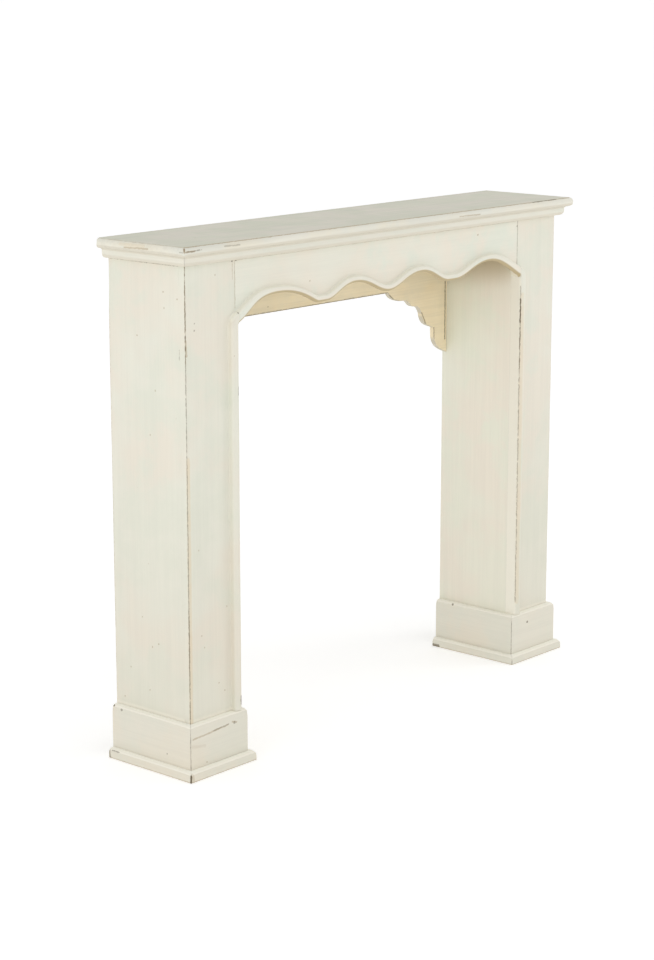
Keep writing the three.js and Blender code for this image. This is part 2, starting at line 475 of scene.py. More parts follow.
@dataclass(frozen=True)
class OldPaint:
    """Old cream paint brushed on wood, with streaks, pits, stains and worn places, and with painted shade on the
    faces that look down and towards the floor and painted light on the faces that look up.

    Attributes:
        name: Name of the finish.
        slot: Material slot in the record.
        coat: Main colour.
        warm: Colour where the coat is thin and yellowed.
        cool: Colour where it is greyer.
        streaks: Strength of the brush and grain streaks.
        pits: Strength of the scattered dark pits.
        roughness: How matt it is.
        dust: The two colours of what lies on the faces that look up, if there is any.
        under: Painted shade: the darker colour laid on the faces that look down.
        over: Painted light: the lighter colour laid on the faces that look up, if it differs.
        grime: Painted shade: the colour that the paint goes to towards the floor.
    """

    name: str
    slot: str
    coat: tuple[float, float, float]
    warm: tuple[float, float, float]
    cool: tuple[float, float, float]
    streaks: float = 0.05
    pits: float = 0.5
    roughness: float = 0.62
    dust: tuple[tuple[float, float, float], tuple[float, float, float]] | None = None
    under: tuple[float, float, float] = (206, 198, 178)
    over: tuple[float, float, float] | None = None
    grime: tuple[float, float, float] = (212, 203, 184)

    def along_grain(self, pot: PaintPot, place: object, grain: Grain, across: float, along: float) -> object:
        """The place stretched so that noise on it draws streaks along the grain."""
        scale = [across] * 3
        scale[grain.value] = along
        return pot.vector("MULTIPLY", place, tuple(scale)).outputs[0]

    def mark_share(self, pot: PaintPot, place: object, mark: Mark, breaks: object) -> object:
        """How far one mark covers each place, 0 to 1."""
        start, end = np.array(mark.start) * MM, np.array(mark.end) * MM
        off = pot.vector("SUBTRACT", place, tuple(start)).outputs[0]
        span = end - start
        size = float(span @ span)
        if size > 0:
            dot = pot.vector("DOT_PRODUCT", off, tuple(span / size)).outputs["Value"]
            share = pot.sum_of("MAXIMUM", pot.sum_of("MINIMUM", dot, 1.0), 0.0)
            run = pot.vector("SCALE", tuple(span)).outputs[0].node
            pot.feed(run.inputs["Scale"], share)
            off = pot.vector("SUBTRACT", off, run.outputs[0]).outputs[0]
        distance = pot.vector("LENGTH", off).outputs["Value"]
        inner, outer = mark.reach * MM, (mark.reach + mark.soft) * MM
        cover = pot.ramp(distance, inner, outer, (mark.strength, 0.0))
        if mark.broken > 0:
            left = pot.ramp(breaks, 0.5 - 0.12 / mark.broken, 0.5 + 0.02, (1 - mark.broken, 1.0))
            cover = pot.sum_of("MULTIPLY", cover, left)
        return cover

    def mixed(self, name: str, grain: Grain, marks: tuple[Mark, ...], seed: int) -> bpy.types.Material:
        """Mixes the material for one piece.

        Args:
            name: The piece's name.
            grain: Which way its grain runs.
            marks: The marks in its paint.
            seed: Shifts the pattern.

        Returns:
            The material.
        """
        pot = PaintPot(f"{self.name}_{name}")
        place = pot.add("ShaderNodeTexCoord").outputs["Object"]
        shifted = pot.vector("ADD", place, (seed * 0.731, seed * 0.417, seed * 0.283)).outputs[0]
        blotch = pot.noise(shifted, 5.0, 3, 0.55).outputs[0]
        cloud = pot.noise(pot.vector("ADD", shifted, (3.1, 1.7, 5.3)).outputs[0], 9.0, 4, 0.6).outputs[0]
        coarse = pot.noise(self.along_grain(pot, shifted, grain, 70.0, 2.2), 1.0, 4, 0.6).outputs[0]
        fine = pot.noise(self.along_grain(pot, shifted, grain, 330.0, 9.0), 1.0, 3, 0.6).outputs[0]
        colour = pot.mix(pot.ramp(blotch, 0.42, 0.62, (0, 0.9)), tint(*self.coat), tint(*self.warm))
        colour = pot.mix(pot.ramp(cloud, 0.45, 0.64, (0, 0.85)), colour, tint(*self.cool))
        streak = pot.sum_of("ADD", pot.sum_of("MULTIPLY", coarse, 0.6), pot.sum_of("MULTIPLY", fine, 0.4))
        level = pot.add("ShaderNodeSeparateXYZ")
        pot.feed(level.inputs[0], place)
        # Painted shade: the colour goes darker towards the floor.
        low = pot.ramp(level.outputs[2], 0.0, 0.75, (0.32, 0.0))
        colour = pot.mix(low, colour, tint(*self.grime))
        facing = pot.add("ShaderNodeSeparateXYZ")
        pot.feed(facing.inputs[0], pot.add("ShaderNodeNewGeometry").outputs["Normal"])
        # Painted shade on the faces that look down.
        colour = pot.mix(pot.ramp(facing.outputs[2], -0.05, -0.45), colour, tint(*self.under))
        # Painted light on the faces that look up.
        if self.over:
            colour = pot.mix(pot.ramp(facing.outputs[2], 0.20, 0.65), colour, tint(*self.over))
        if self.dust:
            film = pot.mix(pot.ramp(cloud, 0.40, 0.62), tint(*self.dust[0]), tint(*self.dust[1]))
            colour = pot.mix(pot.ramp(facing.outputs[2], 0.80, 0.97), colour, film)
        shade = pot.ramp(streak, 0.36, 0.62, (1 - self.streaks, 1 + 0.25 * self.streaks))
        tone = pot.add("ShaderNodeCombineColor")
        for socket in tone.inputs:
            pot.feed(socket, shade)
        colour = pot.mix(1.0, colour, tone.outputs[0], "MULTIPLY")
        pit = pot.add("ShaderNodeTexVoronoi", feature="F1")
        pot.feed(pit.inputs["Vector"], self.along_grain(pot, shifted, grain, 1.0, 0.6))
        pit.inputs["Scale"].default_value = 34.0
        chosen = pot.add("ShaderNodeSeparateColor")
        pot.feed(chosen.inputs[0], pit.outputs["Color"])
        size = pot.ramp(chosen.outputs[0], 0.62, 1.0, (0.0, 0.05))
        cover = pot.sum_of("SUBTRACT", size, pit.outputs["Distance"])
        pitted = pot.ramp(cover, -0.012, 0.012, (0.0, self.pits))
        colour = pot.mix(pitted, colour, tint(*Tone.BARE.value))
        wobble = pot.noise(shifted, 160.0, 3, 0.6)
        shake = pot.vector("SCALE", pot.vector("SUBTRACT", wobble.outputs[1], (0.5, 0.5, 0.5)).outputs[0]).outputs[0]
        shake.node.inputs["Scale"].default_value = 0.0035
        ragged = pot.vector("ADD", place, shake).outputs[0]
        breaks = pot.noise(shifted, 38.0, 4, 0.65).outputs[0]
        worn = pot.sum_of("MULTIPLY", pitted, 0.5)
        for kind in Tone:
            total = None
            for mark in marks:
                if mark.tone is kind:
                    share = self.mark_share(pot, ragged, mark, breaks)
                    total = share if total is None else pot.sum_of("MAXIMUM", total, share)
            if total is not None:
                colour = pot.mix(total, colour, tint(*kind.value))
                if kind in (Tone.BARE, Tone.GAP):
                    worn = pot.sum_of("MAXIMUM", worn, total)
        pot.feed(pot.shader.inputs["Base Color"], colour)
        rough = pot.ramp(streak, 0.3, 0.7, (self.roughness - 0.06, self.roughness + 0.08))
        pot.feed(pot.shader.inputs["Roughness"], pot.sum_of("ADD", rough, pot.sum_of("MULTIPLY", worn, 0.2)))
        pot.shader.inputs["Specular IOR Level"].default_value = 0.35
        height = pot.sum_of("SUBTRACT", pot.sum_of("MULTIPLY", streak, 0.5), worn)
        bump = pot.add("ShaderNodeBump")
        bump.inputs["Strength"].default_value = 0.35
        bump.inputs["Distance"].default_value = 0.0008
        pot.feed(bump.inputs["Height"], height)
        pot.feed(pot.shader.inputs["Normal"], bump.outputs[0])
        return pot.material


# Its over colour is painted light on the faces that look up.
BOARD_PAINT = OldPaint("board_paint", "board_paint", (230, 229, 215), (232, 225, 210), (225, 226, 211), 0.026,
                       over=(241, 239, 226))
# Its dark under colour is painted shade on the reveal under the lip; its over colour is painted light.
FRIEZE_PAINT = OldPaint("frieze_paint", "board_paint", (233, 231, 217), (235, 228, 213), (226, 229, 215), 0.026,
                        under=(188, 171, 134), over=(239, 237, 224))
# A lighter copy of the board paint for the inner boards: painted light on the faces inside the opening.
INSIDE_LIT_PAINT = OldPaint("inside_paint", "board_paint", (238, 237, 221), (240, 232, 217), (235, 236, 219), 0.028)
# Its under colour is painted shade under the mouldings; its over colour is painted light on the ledges and top
# arrises.
MOULDING_PAINT = OldPaint("moulding_paint", "moulding_paint", (232, 229, 216), (234, 227, 211), (227, 227, 214),
                          0.03, under=(220, 214, 198), over=(250, 248, 236))
# Its under colour is painted shade on the lower half of the nose.
SHELF_PAINT = OldPaint("shelf_paint", "shelf_paint", (232, 229, 216), (234, 228, 210), (228, 227, 215), 0.06,
                       dust=((220, 216, 202), (213, 213, 196)), under=(217, 211, 195))
BACK_PAINT = OldPaint("back_paint", "back_paint", (246, 231, 198), (242, 224, 186), (238, 225, 194), 0.06, 0.6, 0.7)


@dataclass
class Joinery:
    """What every sub-assembly shares: the carcass, and how a piece is made and painted."""

    carcass: Carcass
    wave: float = 0.22
    arris: float = 1.1

    def piece(
        self,
        node: str,
        surface: tuple[np.ndarray, Faces],
        paint: OldPaint,
        grain: Grain,
        marks: tuple[Mark, ...] = (),
        dents: tuple[Dent, ...] = (),
    ) -> bpy.types.Object:
        """Makes one painted piece that stands for a node of the frame.

        Args:
            node: The node's name.
            surface: Points in millimetres, and faces.
            paint: Its finish.
            grain: Which way its grain runs.
            marks: The marks in its paint.
            dents: Its dents and rubbed corners.

        Returns:
            The finished object.
        """
        points, faces = surface
        mesh = bpy.data.meshes.new(f"{node}_painted")
        mesh.from_pydata((points * MM).tolist(), [], faces)
        work = bmesh.new()
        work.from_mesh(mesh)
        bmesh.ops.remove_doubles(work, verts=work.verts, dist=1e-6)
        bmesh.ops.recalc_face_normals(work, faces=work.faces)
        work.to_mesh(mesh)
        work.free()
        return self.finished(node, mesh, paint, grain, marks, dents)

    def finished(
        self,
        node: str,
        mesh: bpy.types.Mesh,
        paint: OldPaint,
        grain: Grain,
        marks: tuple[Mark, ...],
        dents: tuple[Dent, ...],
    ) -> bpy.types.Object:
        """Gives a mesh its unevenness, dents, shading and paint, and puts it in the node's place."""
        self.weather(mesh, dents)
        mesh.shade_smooth()
        mesh.set_sharp_from_angle(angle=math.radians(48))
        thing = bpy.data.objects.new(f"{node}_painted", mesh)
        bpy.context.scene.collection.objects.link(thing)
        seed = sum(ord(letter) for letter in node.split("_")[0]) % 97
        mesh.materials.append(paint.mixed(node, grain, marks, seed))
        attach(thing, BODY)
        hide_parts(node)
        log.info("%s: %d faces", thing.name, len(mesh.polygons))
        return thing

    def weather(self, mesh: bpy.types.Mesh, dents: tuple[Dent, ...]) -> None:
        """Makes a surface slightly uneven, and pushes its dents in."""
        count = len(mesh.vertices)
        points = np.empty(count * 3, np.float32)
        mesh.vertices.foreach_get("co", points)
        points = points.reshape(-1, 3).astype(float) / MM
        normals = np.empty(count * 3, np.float32)
        mesh.vertex_normals.foreach_get("vector", normals)
        normals = normals.reshape(-1, 3)
        rise = self.wave * ripple(points, 70.0, 3) + 0.35 * self.wave * ripple(points, 14.0, 5) - 1.2 * self.wave
        moved = points + normals * rise[:, None]
        for dent in dents:
            off = np.linalg.norm(points - np.array(dent.place), axis=1)
            near = np.clip(1 - off / dent.radius, 0, 1)
            rough = 1 + 0.35 * ripple(points, 3.0, 11)
            moved += np.array(dent.push) * (near * near * (3 - 2 * near) * rough)[:, None]
        mesh.vertices.foreach_set("co", (moved * MM).astype(np.float32).ravel())
        mesh.update()


@dataclass
class Shelf(Joinery):
    """The thin slab on top, with a rounded nose on the front and both ends."""

    tip_depth: float = 10.5
    top_reach: float = 11.0
    bottom_reach: float = 9.0
    spacing: float = 7.0

    def inset(self, z: np.ndarray) -> np.ndarray:
        """How far the nose is drawn in at each height."""
        c = self.carcass
        tip = c.top - self.tip_depth
        over = np.clip((z - tip) / self.tip_depth, 0, 1)
        under = np.clip((tip - z) / (tip - c.body_top), 0, 1)
        upper = self.top_reach * (1 - np.sqrt(1 - over**2))
        lower = self.bottom_reach * (1 - np.sqrt(1 - under**2))
        return upper + lower

    def build(self) -> None:
        """Makes the slab."""
        c = self.carcass
        turn = np.sin(np.linspace(0, math.pi / 2, 10))
        tip = c.top - self.tip_depth
        levels = np.concatenate([tip - (tip - c.body_top) * turn, tip + self.tip_depth * turn])
        near = np.array([0.0, 1.0, 3.0, 6.0])
        lines = []
        for low, high in ((-c.half_shelf, c.half_shelf), (c.shelf_front, c.back)):
            middle = np.linspace(low + 10, high - 10, int((high - low) / self.spacing))
            lines.append(np.concatenate([low + near, middle, high - near[::-1]]))
        points, faces = block([*lines, np.unique(np.round(levels, 4))])
        inset = self.inset(points[:, 2])
        points[:, 0] *= 1 - inset / c.half_shelf
        points[:, 1] = c.back - (c.back - points[:, 1]) * (1 - inset / (c.back - c.shelf_front))
        self.piece("top_shelf", (points, faces), SHELF_PAINT, Grain.LEVEL, self.marks(), self.dents())

    def marks(self) -> tuple[Mark, ...]:
        """Rubbed arris, streaks along the nose, and the worn near corner."""
        c = self.carcass
        x, y = c.half_shelf, c.shelf_front
        top = c.top - 0.8
        inset = 6.0
        return (
            Mark((-x + inset, y + inset, top), (x, y + inset, top), 0.9, Tone.BARE, 0.65, 0.45, 1.2),
            Mark((-x + inset, y + inset, top), (-x + inset, c.back, top), 0.6, Tone.BARE, 0.4, 0.5, 1.0),
            Mark((456, y + inset, top), (540, y + inset, top), 1.2, Tone.GAP, 0.7, 0.3, 1.0),
            Mark((-x + 3, y + 3, c.top - 2), (-x, y, 1009), 1.2, Tone.GAP, 0.5, 0.1, 1.0),
            Mark((-x + 3, y + 3, c.top - 2), (-x, y, 1009), 2.0, Tone.BARE, 0.8, 0.1, 1.5),
            Mark((-x + 3, y, 1011), (-x + 24, y, 1011.5), 0.8, Tone.GAP, 0.45, 0.2, 1.0),
            Mark((-x + 3, y, 1011), (-x + 28, y, 1011.5), 1.2, Tone.BARE, 0.6, 0.2, 1.4),
            Mark((-x + 24, y, 1011.5), (-x + 46, y, 1012.5), 0.5, Tone.GAP, 0.55, 0.2, 1.2),
            Mark((-x, y + 2, 1010), (-x, y + 12, 1010.5), 0.6, Tone.GAP, 0.35, 0.3, 1.2),
            Mark((-494, y + 1, 1013), (-454, y + 1, 1012), 0.7, Tone.GAP, 0.35, 0.6, 1.4),
            Mark((200, y, 1010), (268, y, 1009), 0.7, Tone.BARE, 0.5, 0.4, 1.2),
            Mark((-x, 40, 1008), (-x, -22, 1010), 0.8, Tone.BARE, 0.5, 0.3, 1.6),
            Mark((-x + 2, 52, 1013), (-x + 2, -10, 1014), 1.6, Tone.STAIN, 0.25, 0.5, 3.5),
        )

    def dents(self) -> tuple[Dent, ...]:
        """The rubbed corners of the slab."""
        c = self.carcass
        x, y, z = c.half_shelf, c.shelf_front, (c.top + c.body_top) / 2
        return (
            Dent((-x, y, z), (1.8, 1.8, 0), 9),
            Dent((x, y, z), (-1.2, 1.2, 0), 9),
            Dent((-x, c.back, z), (1.2, -1.0, 0), 9),
        )


@dataclass
class Cornice(Joinery):
    """The moulding under the shelf, on the front and both ends."""

    lip: float = 6.0
    face: float = 15.2
    round_height: float = 10.3
    cove_height: float = 4.5
    cove_reach: float = 5.8
    spacing: float = 12.0

    def profile(self) -> np.ndarray:
        """The section: how far out, and how high."""
        c = self.carcass
        low, high = c.cornice_low, c.body_top - 0.1
        cove_foot = high - self.cove_height
        ovolo = quarter((self.lip, low + self.round_height), (self.face - self.lip, self.round_height), -1, 8)
        hollow = quarter((self.face + self.cove_reach, cove_foot), (-self.cove_reach, self.cove_height), 0, 8)
        return np.concatenate([[(0.0, low), (self.lip - 0.6, low), (self.lip, low + 0.5)], ovolo[1:], hollow, [(0.0, high)]])

    def build(self) -> None:
        """Makes the front run and both returns."""
        c = self.carcass
        gap = 0.1
        x = c.half_body
        runs = {
            "cornice_left": ((-x, c.back), (-x, c.front), (False, True), Grain.DEEP),
            "cornice_front": ((-x, c.front), (x, c.front), (True, True), Grain.LEVEL),
            "cornice_right": ((x, c.front), (x, c.back), (True, False), Grain.DEEP),
        }
        for node, (start, end, mitres, grain) in runs.items():
            surface = mitred_run(self.profile(), start, end, mitres, gap, self.spacing)
            self.piece(node, surface, MOULDING_PAINT, grain, self.marks(node))

    def marks(self, node: str) -> tuple[Mark, ...]:
        """The line where the moulding meets the boards."""
        c = self.carcass
        x, y, z = c.half_body, c.front, c.cornice_low
        if node == "cornice_front":
            return (
                Mark((-x, y, z), (x, y, z), 0.8, Tone.BARE, 0.45, 0.4, 1.5),
            )
        sign = -1 if node == "cornice_left" else 1
        return (
            Mark((sign * x, y, z), (sign * x, c.back, z), 0.8, Tone.BARE, 0.6, 0.3, 1.4),
            spot(sign * x, 13, z, 1.8, Tone.GAP, 0.7),
        )


@dataclass(frozen=True)
class Arch:
    """The outer arch of the scallop on one side, as hand-cut.

    Attributes:
        crest: Height of its crest.
        rise: Handles of the rise from the pendant, as shares of its length.
        fall: Handles of the fall to the shoulder.
    """

    crest: float
    rise: tuple[float, float]
    fall: tuple[float, float]


@dataclass
class Front(Joinery):
    """The two stiles and the scalloped frieze between them, with the bead round the opening."""

    bead_width: float = 13.0
    stile_bead_width: float = 20.0
    inner_round: tuple[float, float] = (7.0, 6.0)
    outer_round: tuple[float, float] = (5.5, 5.5)
    back_bevel: float = 14.0
    crest_depth: float = 95.5
    pendant_drop: float = 28.5
    shoulder_drop: float = 39.5
    corner_drop: float = 47.0
    inner_crest: float = 0.234
    pendant_start: float = 0.437
    pendant_end: float = 0.487
    outer_crest: float = 0.752
    shoulder: float = 0.982
    left_arch: Arch = Arch(906.6, (0.12, 0.62), (0.60, 0.30))
    right_arch: Arch = Arch(904.4, (0.34, 0.45), (0.36, 0.35))
    curve_steps: int = 42
    upright_step: float = 9.0

    def lip_half(self, arch: Arch) -> np.ndarray:
        """Half of the opening's upper edge, from the middle pendant to the corner, mirrored to +X.

        Args:
            arch: The outer arch on that side.

        Returns:
            The points (x, z), one row each.
        """
        c = self.carcass
        crest = c.body_top - self.crest_depth - 1.0
        pendant = crest + 1.0 - self.pendant_drop
        at = [share * c.half_opening for share in
              (self.inner_crest, self.pendant_start, self.pendant_end, self.outer_crest, self.shoulder)]
        shoulder_z = crest + 1.0 - self.shoulder_drop
        corner_z = crest + 1.0 - self.corner_drop
        knots = [
            (0.0, pendant, at[0], crest, 0.34, 0.45),
            (at[0], crest, at[1], pendant, 0.45, 0.34),
            (at[1], pendant, at[2], pendant, 0.33, 0.33),
            (at[2], pendant, at[3], arch.crest, *arch.rise),
        ]
        parts = []
        for x0, z0, x1, z1, leave, arrive in knots:
            reach = x1 - x0
            steps = 6 if z0 == z1 else self.curve_steps
            parts.append(bezier((x0, z0), (x0 + reach * leave, z0), (x1 - reach * arrive, z1), (x1, z1), steps))
        reach = at[4] - at[3]
        leave, arrive = arch.fall
        handle = reach * arrive
        parts.append(bezier(
            (at[3], arch.crest), (at[3] + reach * leave, arch.crest),
            (at[4] - handle, shoulder_z + handle * 0.55), (at[4], shoulder_z), self.curve_steps,
        ))
        ctrl = (c.half_opening, shoulder_z - 3)
        first = (at[4] + (ctrl[0] - at[4]) * 2 / 3, shoulder_z + (ctrl[1] - shoulder_z) * 2 / 3)
        second = (c.half_opening, corner_z + (ctrl[1] - corner_z) * 2 / 3)
        parts.append(bezier((at[4], shoulder_z), first, second, (c.half_opening, corner_z), 14))
        return np.concatenate(parts)

    def stations(self) -> tuple[np.ndarray, np.ndarray, np.ndarray, np.ndarray, np.ndarray]:
        """Everything that the front's sections need, from the left foot over the lip to the right foot.

        Returns:
            The opening's edge, its outward direction, the outer end of each section, how far the
            bead stands out there, as a share, and how wide the bead is.
        """
        c = self.carcass
        corner = c.body_top - self.crest_depth - self.corner_drop
        count = int((corner - c.plinth_top) / self.upright_step)
        low = c.plinth_top + c.joint
        rise = np.concatenate([[0.0, low - 0.02, low], np.linspace(low, corner, count + 1)[1:]])
        right = self.lip_half(self.right_arch)
        left = self.lip_half(self.left_arch)[::-1] * [-1, 1]
        up = np.stack([np.full(len(rise), -c.half_opening), rise], axis=1)
        down = np.stack([np.full(len(rise), c.half_opening), rise[::-1]], axis=1)
        edge = np.concatenate([up, left, right[1:], down])
        tangent = np.gradient(edge, axis=0)
        tangent[: len(up)] = (0, 1)
        tangent[-len(down):] = (0, -1)
        tangent /= np.linalg.norm(tangent, axis=1, keepdims=True)
        outward = np.stack([-tangent[:, 1], tangent[:, 0]], axis=1)
        share = np.where(edge[:, 1] < low - 0.01, 0.0, 1.0)
        crest_x = self.outer_crest * c.half_opening
        grown = np.clip((np.abs(edge[:, 0]) - crest_x) / (c.half_opening - crest_x), 0, 1)
        width = self.bead_width + (self.stile_bead_width - self.bead_width) * grown
        return edge, outward, self.outer_ends(edge), share, width

    def outer_ends(self, edge: np.ndarray) -> np.ndarray:
        """Where each section ends: on the stile's outer edge, round the corner, and along the top."""
        c = self.carcass
        top = c.body_top - 0.1
        corner = c.body_top - self.crest_depth - self.corner_drop
        turn_from, turn_to = 700.0, c.half_opening * 0.90
        x, z = edge[:, 0], edge[:, 1]
        upright = (np.abs(x) > c.half_opening - 0.01) & (z <= corner + 0.01)
        turning = (z > turn_from) & (np.abs(x) > turn_to)
        end_x = np.where(upright, c.half_body * np.sign(x), x)
        end_z = np.where(upright, z, top)
        whole = (corner - turn_from) + (c.half_opening - turn_to)
        gone = np.where(upright, z - turn_from, (corner - turn_from) + (c.half_opening - np.abs(x)))
        share = np.clip(gone / whole, 0, 1)
        path = (top - turn_from) + (c.half_body - turn_to)
        way = share * path
        climb = np.minimum(turn_from + way, top)
        inward = np.clip(way - (top - turn_from), 0, None)
        end_x = np.where(turning, np.sign(x) * (c.half_body - inward), end_x)
        end_z = np.where(turning, climb, end_z)
        ends = np.stack([end_x, end_z], axis=1)
        for sign in (-1, 1):
            side = np.where((np.sign(x) == sign) & turning)[0]
            nearest = side[np.argmin(np.hypot(end_x[side] - sign * c.half_body, end_z[side] - top))]
            ends[nearest] = (sign * c.half_body, top)
        return ends

    def section(self, share: float, width: float, bevel: float) -> tuple[np.ndarray, np.ndarray]:
        """The bead's section, rounded towards the opening and towards the board.

        Args:
            share: How far the bead stands out, as a share.
            width: Its width.
            bevel: How far the back of the edge slopes away from the opening.

        Returns:
            For each point, how far it is from the opening's edge and how far it stands out from
            the front of the boards.
        """
        c = self.carcass
        proud = (c.front - c.bead_front) * share
        size = max(share, 0.05)
        near, deep = (value * size for value in self.inner_round)
        far, low = (value * size for value in self.outer_round)
        turn = 0.36 * bevel - 1.5
        body = np.array([(bevel, -c.board), (bevel / 2, (turn - c.board) / 2), (0.0, turn)])
        inner = quarter((near, proud - deep), (-near, deep), 0, 8)
        outer = quarter((width - far, proud - low), (far, low), 0, 8)[::-1]
        foot = width + 0.2 + np.array([(-0.1, 1.5), (0.3, 0.5), (1.0, 0.0)]) * share
        foot[:, 1] -= width + 0.2
        row = np.concatenate([body, inner, outer, foot])
        return row[:, 0], row[:, 1]

    def surface(self) -> bpy.types.Mesh:
        """The whole front as one surface, before it is cut at the joints."""
        c = self.carcass
        rings = []
        for here, way, end, proud, width in zip(*self.stations()):
            bevel = self.back_bevel * min(1.0, (c.half_opening - abs(here[0])) / 12)
            off, out = self.section(proud, width, bevel)
            flat = here + way * off[:, None]
            last = flat[-1]
            reach = np.linalg.norm(end - last)
            across = (end - last) / reach
            steps = np.linspace(0, 1, 16)[1:]
            run = last + across * ((reach - self.arris) * steps)[:, None]
            bend = quarter((reach - self.arris, -self.arris), (self.arris, self.arris), 0, 4)[::-1][1:]
            curve = last + across * bend[:, :1]
            back = end + (here - end) * np.linspace(0, 1, 6)[:-1, None]
            ring_flat = np.concatenate([flat, run, curve, back])
            ring_out = np.concatenate([out, np.zeros(len(run)), bend[:, 1], np.full(len(back), -c.board)])
            rings.append(np.stack([ring_flat[:, 0], c.front - ring_out, ring_flat[:, 1]], axis=1))
        points, faces = tube(np.array(rings))
        mesh = bpy.data.meshes.new("front")
        mesh.from_pydata((points * MM).tolist(), [], faces)
        return mesh

    def cut(self, whole: bpy.types.Mesh, node: str, low: float, high: float) -> bpy.types.Mesh:
        """The part of the front between two upright planes, closed at its cuts.

        Args:
            whole: The whole front.
            node: Name of the piece.
            low: Lower X of the part.
            high: Higher X of the part.

        Returns:
            Its mesh.
        """
        work = bmesh.new()
        work.from_mesh(whole)
        bmesh.ops.remove_doubles(work, verts=work.verts, dist=1e-6)
        for x, way in ((low, -1), (high, 1)):
            if abs(x) > self.carcass.half_opening + 1:
                continue
            every = list(work.verts) + list(work.edges) + list(work.faces)
            made = bmesh.ops.bisect_plane(
                work, geom=every, dist=1e-7, plane_co=(x * MM, 0, 0), plane_no=(way, 0, 0), clear_outer=True)
            rim = [item for item in made["geom_cut"] if isinstance(item, bmesh.types.BMEdge)]
            bmesh.ops.holes_fill(work, edges=rim, sides=0)
        bmesh.ops.recalc_face_normals(work, faces=work.faces)
        mesh = bpy.data.meshes.new(f"{node}_painted")
        work.to_mesh(mesh)
        work.free()
        return mesh

    def build(self) -> None:
        """Makes the front and cuts it into the stiles and the frieze."""
        c = self.carcass
        whole = self.surface()
        x = c.half_opening
        slit = 0.04
        parts = {
            "left_stile": (-c.half_body - 1, -x - slit, Grain.UPRIGHT, self.left_marks(), self.left_dents()),
            "frieze_board": (-x + slit, x - slit, Grain.LEVEL, self.frieze_marks(), ()),
            "right_stile": (x + slit, c.half_body + 1, Grain.UPRIGHT, self.right_marks(), ()),
        }
        for node, (low, high, grain, marks, dents) in parts.items():
            mesh = self.cut(whole, node, low, high)
            paint = FRIEZE_PAINT if node == "frieze_board" else BOARD_PAINT
            self.finished(node, mesh, paint, grain, marks, dents)
        bpy.data.meshes.remove(whole)

    def left_marks(self) -> tuple[Mark, ...]:
        """The dark worn corner of the left stile, its joint with the frieze, and its spots, with painted light on the
        bead's flank and in the crease above the plinth.
        """
        c = self.carcass
        x, y, f, b = c.half_body, c.half_opening, c.front, c.bead_front
        low, high = c.plinth_top, c.cornice_low
        specks = ((-490, 957), (-491, 170), (-467, 318), (-536, 274), (-475, 152), (-529, 250))
        return (
            Mark((-x, f, low), (-x, f, high), 0.9, Tone.GAP, 0.55, 0.1, 0.9),
            Mark((-x, f, 800), (-x, f, high), 0.9, Tone.BARE, 0.6, 0.1, 1.0),
            Mark((-x, f, 852), (-x, f, 826), 1.8, Tone.GAP, 0.75, 0.1, 1.0),
            Mark((-x, f, low), (-x, f, 330), 1.2, Tone.GAP, 0.65, 0.2, 1.0),
            Mark((-x + 4, f, low), (-x + 4, f, 620), 2.0, Tone.STAIN, 0.4, 0.5, 4.0),
            Mark((-x + 1, f, 842), (-x + 3, f, 815), 1.8, Tone.BARE, 0.5, 0.3, 2.0),
            Mark((-y, f, high), (-y, f, 890), 0.4, Tone.BARE, 0.45, 0.35, 1.0),
            Mark((-y - 6, f, high), (-y - 6, f, 945), 0.4, Tone.BARE, 0.35, 0.5, 1.2),
            spot(-y - 7, f, 979, 1.8, Tone.GAP, 0.7),
            spot(-545.4, f, 872.8, 1.3, Tone.GAP, 0.4),
            spot(-546.0, f, 859.7, 1.4, Tone.GAP, 0.45),
            *(spot(at, f, z, 1.3, Tone.BARE, 0.45) for at, z in specks),
            Mark((-y - 1, b + 3, 882), (-y - 1, b + 3, 867), 1.2, Tone.GAP, 0.6, 0.2, 1.2),
            Mark((-y - 3, b, 742), (-y - 3, b, 727), 1.2, Tone.GAP, 0.75, 0.1, 1.2),
            Mark((-y - 3, b, 133), (-y - 3, b, 119), 2.0, Tone.GAP, 0.95, 0.0, 1.4),
            # Painted light on the bead's outer flank.
            Mark((-y - 15, b, 850), (-y - 15, b, low), 4.0, Tone.PALE, 0.15, 0.3, 3.0),
            # Painted light in the crease where the stile meets the plinth.
            Mark((-x, f, low), (-y, f, low), 2.5, Tone.PALE, 0.75, 0.0, 7.0),
        )

    def left_dents(self) -> tuple[Dent, ...]:
        """The knocked places on the near corner."""
        c = self.carcass
        return (Dent((-c.half_body, c.front, 838), (1.2, 1.2, 0), 16),)

    def frieze_marks(self) -> tuple[Mark, ...]:
        """The joints at both ends, the knots, the rubbed lip, and painted light on the reveal at the right end."""
        c = self.carcass
        y, f, b, high = c.half_opening, c.front, c.bead_front, c.cornice_low
        return (
            Mark((-y, f, high), (-y, f, 890), 0.4, Tone.BARE, 0.45, 0.35, 1.0),
            Mark((y, f, high), (y, f, 880), 0.6, Tone.GAP, 0.4, 0.3, 1.0),
            spot(y - 1, f, 968, 2.2, Tone.GAP, 0.6),
            spot(-434.5, f, 979.5, 1.5, Tone.GAP, 0.55),
            # Painted light over the painted shade of the reveal at the right end of the lip.
            Mark((422, -78, 870), (y, -78, 859), 10.0, Tone.PALE, 0.75, 0.0, 3.0),
            spot(299.5, f, 961.3, 1.7, Tone.BARE, 0.6),
            spot(-227.5, f, 918.8, 1.6, Tone.BARE, 0.45),
            Mark((-y, f, high), (y, f, high), 0.7, Tone.BARE, 0.35, 0.3, 1.6),
        )

